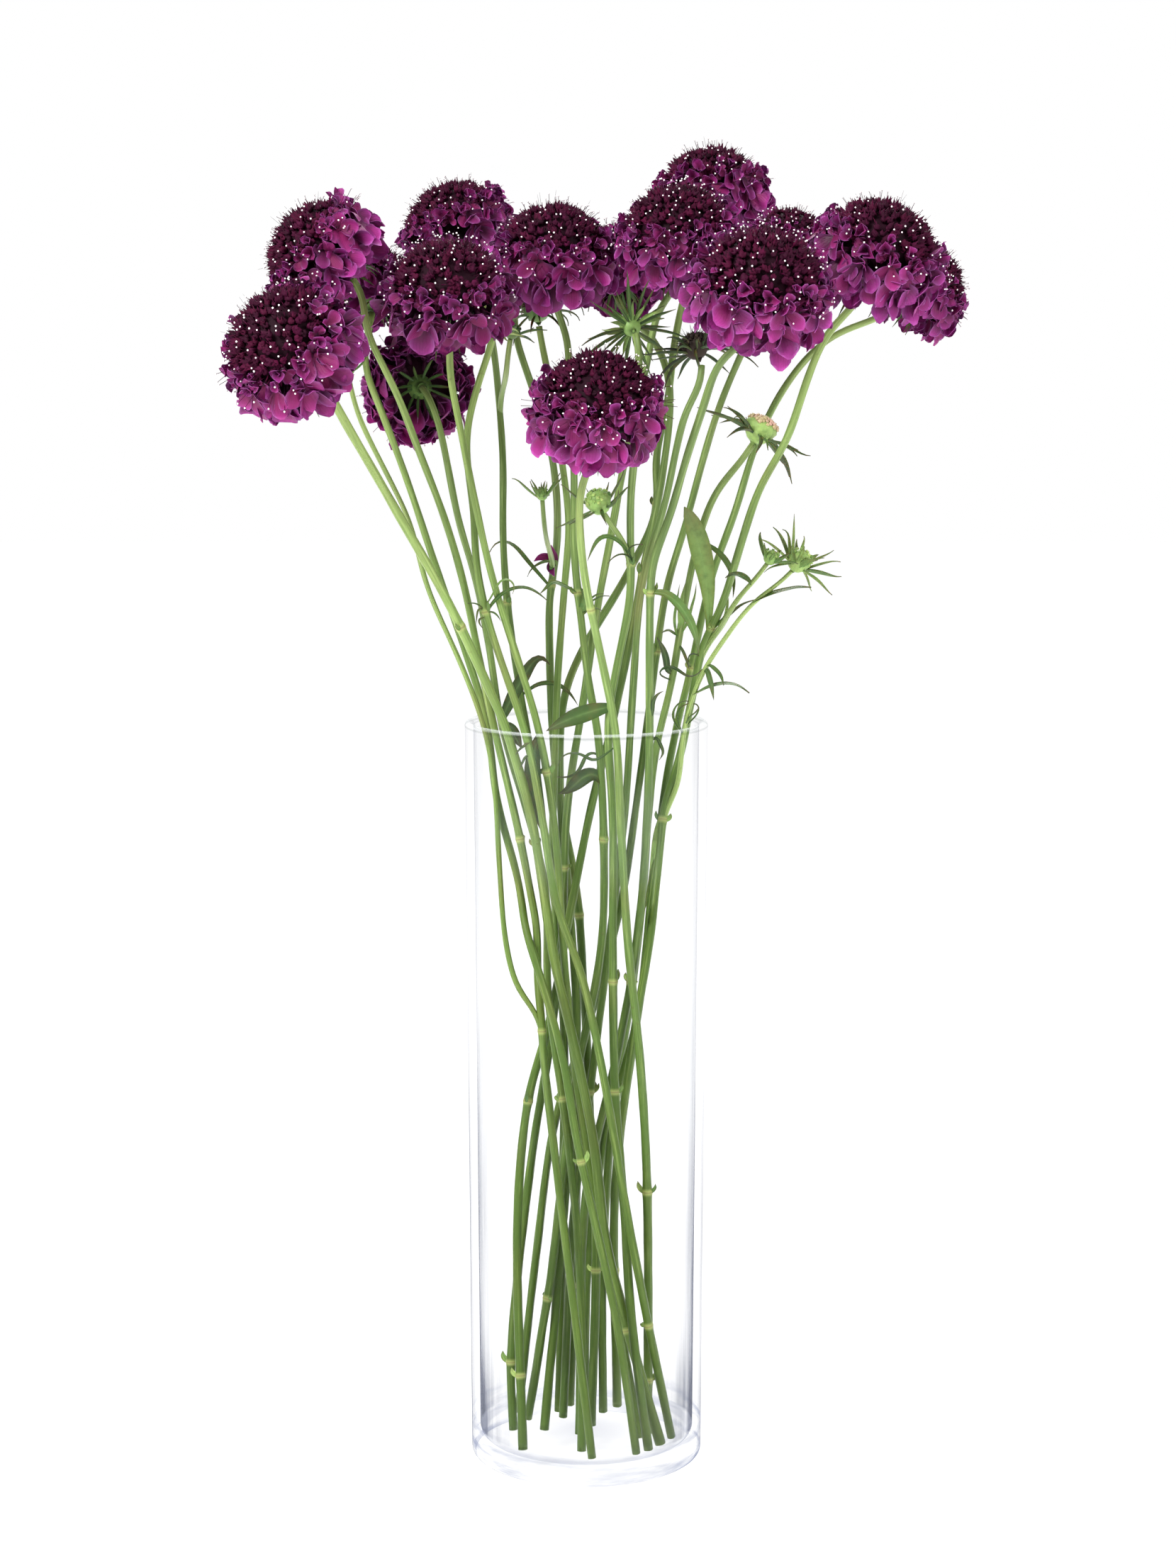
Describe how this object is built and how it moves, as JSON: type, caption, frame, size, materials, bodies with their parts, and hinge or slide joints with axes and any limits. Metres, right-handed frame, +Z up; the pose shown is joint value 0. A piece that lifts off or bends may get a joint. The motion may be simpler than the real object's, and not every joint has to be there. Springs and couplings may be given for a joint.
{
  "type": "scabiosa in a vase",
  "caption": "Cut scabiosa with domed dark centres and ruffled purple petals, spreading from a clear glass cylinder vase.",
  "frame": {"origin": "centre of the vase's base, on the surface it stands on", "axes": "+Z up, the front of the arrangement faces -Y"},
  "size_m": [0.2909, 0.1946, 0.545],
  "materials": {
    "glass": "clear, smooth",
    "stem": "fresh green stem, satin",
    "petal": "soft ruffled petal",
    "centre": "tight dark florets",
    "bract": "green bract, satin",
    "spent": "dried flower base, matt"
  },
  "bodies": {
    "root": {"vase": "glass", "flower_01_petals": "petal", "flower_01_centre": "centre", "flower_02_petals": "petal", "flower_02_centre": "centre", "flower_03_petals": "petal", "flower_03_centre": "centre", "flower_04_petals": "petal", "flower_04_centre": "centre", "flower_05_petals": "petal", "flower_05_centre": "centre", "flower_06_petals": "petal", "flower_06_centre": "centre", "flower_07_petals": "petal", "flower_07_centre": "centre", "flower_08_petals": "petal", "flower_08_centre": "centre", "flower_09_petals": "petal", "flower_09_centre": "centre", "flower_10_petals": "petal", "flower_10_centre": "centre", "flower_11_petals": "petal", "flower_11_centre": "centre", "flower_12_petals": "petal", "flower_12_centre": "centre", "flower_13_petals": "petal", "flower_13_centre": "centre", "flower_14_petals": "petal", "flower_14_centre": "centre", "flower_15_petals": "petal", "flower_15_centre": "centre", "flower_16_petals": "petal", "flower_16_centre": "centre", "stem_01": "stem", "stem_02": "stem", "stem_03": "stem", "stem_04": "stem", "stem_05": "stem", "stem_06": "stem", "stem_07": "stem", "stem_08": "stem", "stem_09": "stem", "stem_10": "stem", "stem_11": "stem", "stem_12": "stem", "stem_13": "stem", "stem_14": "stem", "stem_15": "stem", "stem_16": "stem", "stem_17": "stem", "stem_18": "stem", "stem_19": "stem", "stem_20": "stem", "stem_21": "stem", "spent_head": "spent", "involucre": "bract", "seed_head": "spent", "bud_right": "bract"}
  },
  "joints": []
}
